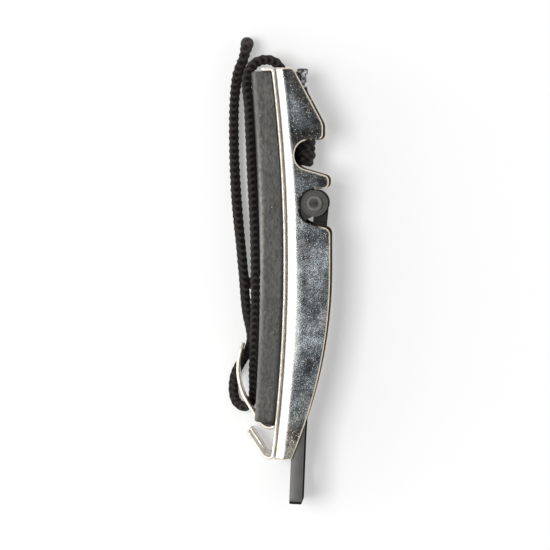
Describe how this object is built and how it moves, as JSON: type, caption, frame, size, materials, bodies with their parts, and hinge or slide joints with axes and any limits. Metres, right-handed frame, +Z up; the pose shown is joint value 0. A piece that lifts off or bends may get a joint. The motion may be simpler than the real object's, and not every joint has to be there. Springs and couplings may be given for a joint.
{
  "type": "string winder",
  "caption": "Folding pocket string winder: pressed steel channel with opener notch and pin hook, fold-out winder arm, grip pad, spring clip and a doubled knit lanyard.",
  "frame": {"origin": "middle of the body's length on the outer face of the cheek that it lies on", "axes": "+X from the spine to the open side, +Y along the body to the lanyard end, +Z up from the cheek that it lies on"},
  "size_m": [0.0288, 0.1278, 0.018],
  "materials": {
    "nickel": "polished nickel plate with fine handling scratches",
    "spring_steel": "bright spring strip",
    "rivet_steel": "plain pressed heads",
    "grip_rubber": "matte black",
    "arm_plastic": "smooth black moulding",
    "black_oxide": "satin black",
    "nylon": "natural nylon",
    "cord": "black chain-knit cord",
    "sealed_cord": "heat-sealed cord end"
  },
  "bodies": {
    "tool": {"channel_body": "nickel", "spine_plate": "nickel", "grip_pad": "grip_rubber", "pocket_clip": "spring_steel", "clip_rivet": "rivet_steel", "pivot_bracket": "black_oxide", "spine_rivets": "rivet_steel", "pivot_barrel": "black_oxide", "pivot_screw": "black_oxide", "thrust_washers": "nylon", "friction_spring": "spring_steel", "spring_rivet": "rivet_steel", "lanyard": "cord", "lanyard_knot": "cord", "lanyard_tails": "cord", "tail_tips": "sealed_cord"},
    "winder": {"winder_arm": "arm_plastic"}
  },
  "joints": [
    {"name": "arm_pivot", "type": "hinge", "parent": "tool", "child": "winder", "pos_m": [0.00387, 0.01658, 0.009], "axis": [0, 0, 1], "range_deg": [0, 95]}
  ]
}
